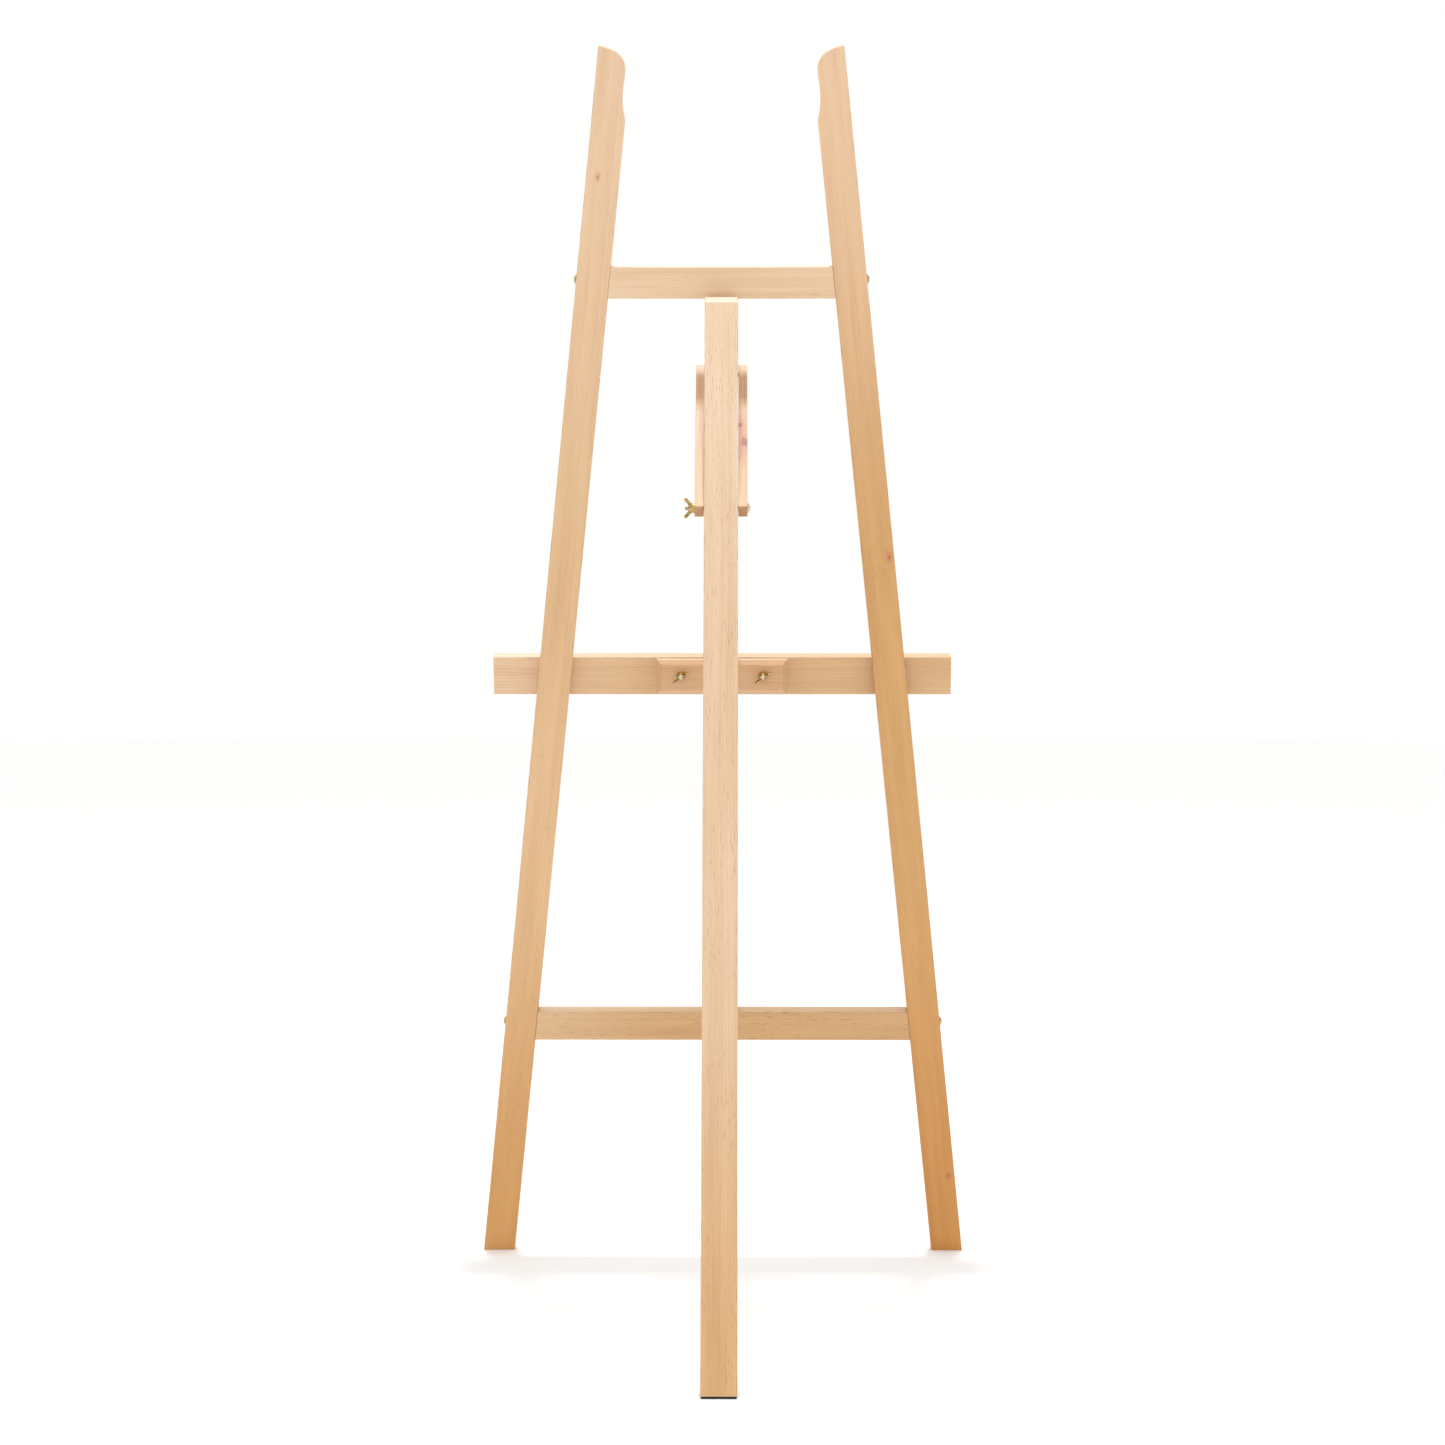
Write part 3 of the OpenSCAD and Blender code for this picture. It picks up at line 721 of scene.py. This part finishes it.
def hexagon(across):
    """Radius of a hexagon by angle, from half its width across flats."""
    return lambda angle: across / math.cos((angle + math.pi / 6) % (math.pi / 3) - math.pi / 6)


def cross(arm, half):
    """Radius of a cross recess by angle."""
    def radius(angle):
        a = (angle + math.pi / 4) % (math.pi / 2) - math.pi / 4
        wide = half / max(abs(math.sin(a)), 1e-6)
        return max(min(arm, wide), half * 1.45)
    return radius


def dome_rings(radius, height, inner, steps=10):
    """From the rim of a dome head up to where its recess opens."""
    ball = (radius ** 2 + height ** 2) / (2 * height)
    rim = math.asin(radius / ball)
    stop = math.asin(inner / ball)
    soft = 0.12 * MM
    rings = [(0.0, radius - soft), (-soft, radius - 0.02 * MM)]
    for i in range(1, steps + 1):
        a = rim + (stop - rim) * i / steps
        rings.append((ball * (1 - math.cos(a)) - height, ball * math.sin(a)))
    return rings


def thread_rings(start, end, radius):
    """Helical thread from start to end, running out at the tip."""
    rings = []
    steps = int((end - start) / THREAD_PITCH * 10)
    for i in range(steps + 1):
        z = start + (end - start) * i / steps
        limit = radius - max(0.0, z - (end - TIP_CHAMFER))

        def at(angle, z=z, limit=limit):
            phase = (z / THREAD_PITCH - angle / (2 * math.pi)) % 1.0
            depth = THREAD_DEPTH * abs(2 * phase - 1) ** 0.8
            return min(radius - depth, limit)
        rings.append((z, at))
    return rings


def bolt(sizes, socket=None, thread=0.0):
    """Dome-headed bolt, threaded over its last stretch."""
    inner = SOCKET_RIM if socket else BLANK_RIM
    tall = sizes["head"] / 2
    rim = dome_rings(sizes["head"], tall, inner)
    top = rim[-1][0]
    if socket:
        deep = top + SOCKET_DEEP
        head = [(deep, 0), (deep, socket), (top + 0.3 * MM, socket), (top, inner)]
    else:
        head = [(-tall, 0), (top, inner)]
    rings = head + rim[::-1][1:]
    shank, tip = sizes["shank"], sizes["tip"]
    rings += [(0.02 * MM, shank + 0.15 * MM), (0.3 * MM, shank)]
    if thread:
        rings.append((tip - thread - 0.4 * MM, shank))
        rings += thread_rings(tip - thread, tip, shank * 0.985)
    else:
        rings += [(tip - TIP_CHAMFER, shank), (tip, shank - TIP_CHAMFER)]
    rings.append((tip, 0))
    return lathe(rings)


# Painted reflection: this brass's tone and tarnish are set darker than the metal's own, standing in for the dark
# surroundings its polish would reflect; the cloudy tarnish pattern is real
brass = metal("brass_forged", linear(208, 174, 110), linear(88, 64, 34),
              rough=0.18, scratch=0.18)
brass_worn = metal("brass_worn", linear(232, 220, 194), linear(170, 148, 116),
                   rough=0.20, scratch=0.16)
brass_leaf = metal("brass_pressed", linear(220, 184, 112), linear(168, 128, 74),
                   rough=0.30, scratch=0.30)
steel = metal("zinc_bright", linear(198, 200, 202), linear(150, 150, 148),
              rough=0.30, scratch=0.22)
pad_rubber = rubber("rubber_pad")

for number, solid in enumerate(solids_of("rail_bolts")):
    into, sizes = headed_frame(solid)
    placed(f"rail_bolt_{number}", bolt(sizes, hexagon(SOCKET_HALF)), into, brass, "frame",
           ["rail_bolts"])

for number, solid in enumerate(solids_of("clamp_bolts")):
    into, sizes = headed_frame(solid)
    placed(f"clamp_bolt_{number}", bolt(sizes, thread=CLAMP_THREAD), into, brass_worn, "tray",
           ["clamp_bolts"])

into, sizes = headed_frame(solids_of("brace_bolt")[0])
placed("brace_bolt_turned", bolt(sizes, thread=BRACE_THREAD), into, brass_worn, "rear_leg",
       ["brace_bolt"])


def screw_mesh(points, into):
    """Countersunk screw drawn from the CAD solid's own profile, with a cross recess."""
    back = into.inverted()
    profile = {}
    for p in points:
        q = back @ Vector(p)
        entry = profile.setdefault(round(q.z / PROFILE_STEP), [q.z, 0.0])
        entry[1] = max(entry[1], math.hypot(q.x, q.y))
    outline = sorted(profile.values())
    top, head = outline[0]
    deep = top + CROSS_DEEP
    rings = [(deep, 0), (deep, cross(head * 0.34, head * 0.1)),
             (top + 0.03 * MM, cross(head * 0.62, head * 0.14)), (top, head * 0.78),
             (top, head - 0.05 * MM), (top + 0.05 * MM, head)]
    rings += [(z, max(r, 0.05 * MM)) for z, r in outline[1:]]
    rings.append((outline[-1][0], 0))
    return lathe(rings)


for node in ("hinge_screws_mast", "hinge_screws_leg"):
    for number, solid in enumerate(solids_of(node)):
        into, _ = headed_frame(solid)
        placed(f"{node}_{number}", screw_mesh(solid[0], into), into, brass_leaf, BODY_OF[node],
               [node])


# ---- Wing nuts ----

def spin_frame(node, joint):
    """Frame of a wing nut: Z along its axis, X along its wings."""
    axis = Vector(joint["axis"]).normalized()
    centre = Vector(joint["pos_m"])
    furthest = max((v.co for v in frame["nodes"][node].data.vertices),
                   key=lambda p: (p - centre - axis * (p - centre).dot(axis)).length)
    out = furthest - centre
    out = (out - axis * out.dot(axis)).normalized()
    into = Matrix((out, axis.cross(out), axis)).transposed().to_4x4()
    into.translation = centre
    return into


def forged(node, into):
    """Wing nut mesh with the soft edges of a hot forging."""
    work = welded(node, into)
    bmesh.ops.triangulate(work, faces=work.faces)
    mesh = bpy.data.meshes.new(node)
    work.to_mesh(mesh)
    work.free()
    carrier = bpy.data.objects.new(node + "_carrier", mesh)
    bpy.context.scene.collection.objects.link(carrier)
    grid = carrier.modifiers.new("grid", "REMESH")
    grid.mode = "VOXEL"
    grid.voxel_size = NUT_GRID
    soft = carrier.modifiers.new("soft", "SMOOTH")
    soft.iterations = 7
    soft.factor = 0.5
    seen = carrier.evaluated_get(bpy.context.evaluated_depsgraph_get())
    result = bpy.data.meshes.new_from_object(seen)
    bpy.data.objects.remove(carrier)
    bpy.data.meshes.remove(mesh)
    return result


for joint in frame["joints"]:
    node = joint["child"]
    if "wing_nut" in node:
        into = spin_frame(node, joint)
        placed(node + "_forged", forged(node, into), into, brass, node, [node])


# ---- Plates, pins and the pad ----

PLATES = {
    "hinge_leaf_mast": (brass_leaf, "brass_plate", METAL_ARRIS),
    "hinge_leaf_leg": (brass_leaf, "brass_plate", METAL_ARRIS),
    "barrel_nuts": (steel, "zinc_steel", METAL_ARRIS),
    "rear_foot_pad": (pad_rubber, "black_rubber", PAD_ARRIS),
}
for node, (finish, slot, width) in PLATES.items():
    into = bar_frame(node)
    eased = rounded(node, into, width, low_end=1.0, high_end=1.0, hole=PLATE_HOLE_SIZE)
    placed(node + "_finished", eased, into, finish, BODY_OF[node], [node])


def pin_mesh(radius, half, soft):
    """Pin with eased ends."""
    rings = [(-half, 0), (-half, radius - soft), (-half + soft, radius),
             (half - soft, radius), (half, radius - soft), (half, 0)]
    return lathe(rings, PIN_SIDES)


def washer_mesh(outer, inner, half, soft=0.25 * MM):
    """Pressed washer: eased outside above, with a slight burr left inside."""
    section = [(-half, inner + 0.1 * MM), (-half, outer - soft * 0.5),
               (-half + soft * 0.5, outer), (half - soft, outer), (half, outer - soft),
               (half, inner + 0.15 * MM), (half - 0.15 * MM, inner),
               (-half + 0.1 * MM, inner), (-half, inner + 0.1 * MM)]
    mesh = lathe(section)
    work = bmesh.new()
    work.from_mesh(mesh)
    bmesh.ops.remove_doubles(work, verts=work.verts, dist=0.001 * MM)
    bmesh.ops.recalc_face_normals(work, faces=work.faces)
    work.to_mesh(mesh)
    work.free()
    return mesh


for node in ("brace_washer", "clamp_washers"):
    for number, solid in enumerate(solids_of(node)):
        into, outer, inner, half = pin_frame(solid)
        placed(f"{node}_{number}_pressed", washer_mesh(outer, inner, half), into, brass_leaf,
               BODY_OF[node], [node])

PINS = {
    "hinge_pin": (steel, "zinc_steel", 0.3 * MM),
    "brace_pivot_pin": (steel, "zinc_steel", 0.6 * MM),
    "lip_pins": (brass, "brass_plate", 0.2 * MM),
    "mast_dowels": (dowel_wood, "dowel_beech", 1.0 * MM),
    "tray_dowels": (dowel_wood, "dowel_beech", 0.8 * MM),
}
for node, (finish, slot, soft) in PINS.items():
    for number, solid in enumerate(solids_of(node)):
        into, radius, _, half = pin_frame(solid)
        placed(f"{node}_{number}_drawn", pin_mesh(radius, half, soft), into, finish,
               BODY_OF[node], [node])


# ---- Floor, light and camera ----

def stage_floor():
    """Matt white floor, a hair below the feet."""
    mesh = bpy.data.meshes.new("floor")
    work = bmesh.new()
    bmesh.ops.create_circle(work, cap_ends=True, segments=96, radius=FLOOR_RADIUS)
    work.to_mesh(mesh)
    work.free()
    floor = bpy.data.objects.new("floor", mesh)
    floor.location.z = -FLOOR_DROP
    bpy.context.scene.collection.objects.link(floor)
    material, g, shader = surface("studio_floor")
    place = g.add("TexCoord", out=3)
    g.feed(shader["Base Color"], g.mix(g.math("ADD", g.noise(g.scaled(place, 9, 9, 9)), 0.5),
                                       (0.89, 0.89, 0.89, 1), (0.91, 0.91, 0.91, 1)))
    shader["Roughness"].default_value = 0.9
    shader["Specular IOR Level"].default_value = 0.1
    floor.data.materials.append(material)


def softbox(name, at, towards, size, power):
    """Round soft lamp that faces a point."""
    light = bpy.data.lights.new(name, "AREA")
    light.shape = "DISK"
    light.size = size
    light.energy = power
    light.color = LAMP_COLOR
    lamp = bpy.data.objects.new(name, light)
    lamp.location = at
    lamp.rotation_mode = "QUATERNION"
    lamp.rotation_quaternion = (Vector(towards) - Vector(at)).to_track_quat("-Z", "Y")
    bpy.context.scene.collection.objects.link(lamp)


def sky():
    """White surroundings, brighter overhead."""
    world = bpy.data.worlds.new("studio")
    bpy.context.scene.world = world
    world.use_nodes = True
    g = Graph(world.node_tree)
    up = g.add("SeparateXYZ", {0: g.add("TexCoord", out=0)}, out=2)
    glow = g.add("MapRange", {"Value": up, "From Min": 0.25, "From Max": 0.95,
                              "To Min": 1.01, "To Max": 1.15}, interpolation_type="SMOOTHSTEP")
    shader = world.node_tree.nodes["Background"].inputs
    shader["Color"].default_value = (1.0, 0.995, 0.985, 1)
    g.feed(shader["Strength"], glow)


stage_floor()
sky()
softbox("overhead", LAMP_AT, LAMP_TOWARDS, LAMP_SIZE, LAMP_POWER)

camera = bpy.data.objects.new("camera", bpy.data.cameras.new("camera"))
camera.data.lens = CAMERA_LENS
camera.data.sensor_width = CAMERA_SENSOR
camera.location = CAMERA_AT
looking = Vector((math.sin(CAMERA_YAW) * math.cos(CAMERA_DOWN),
                  -math.cos(CAMERA_YAW) * math.cos(CAMERA_DOWN), -math.sin(CAMERA_DOWN)))
camera.rotation_mode = "QUATERNION"
camera.rotation_quaternion = looking.to_track_quat("-Z", "Y")
bpy.context.scene.collection.objects.link(camera)
bpy.context.scene.camera = camera

scene = bpy.context.scene
scene.view_settings.view_transform = "Standard"
scene.view_settings.look = "None"
scene.view_settings.exposure = 0.0
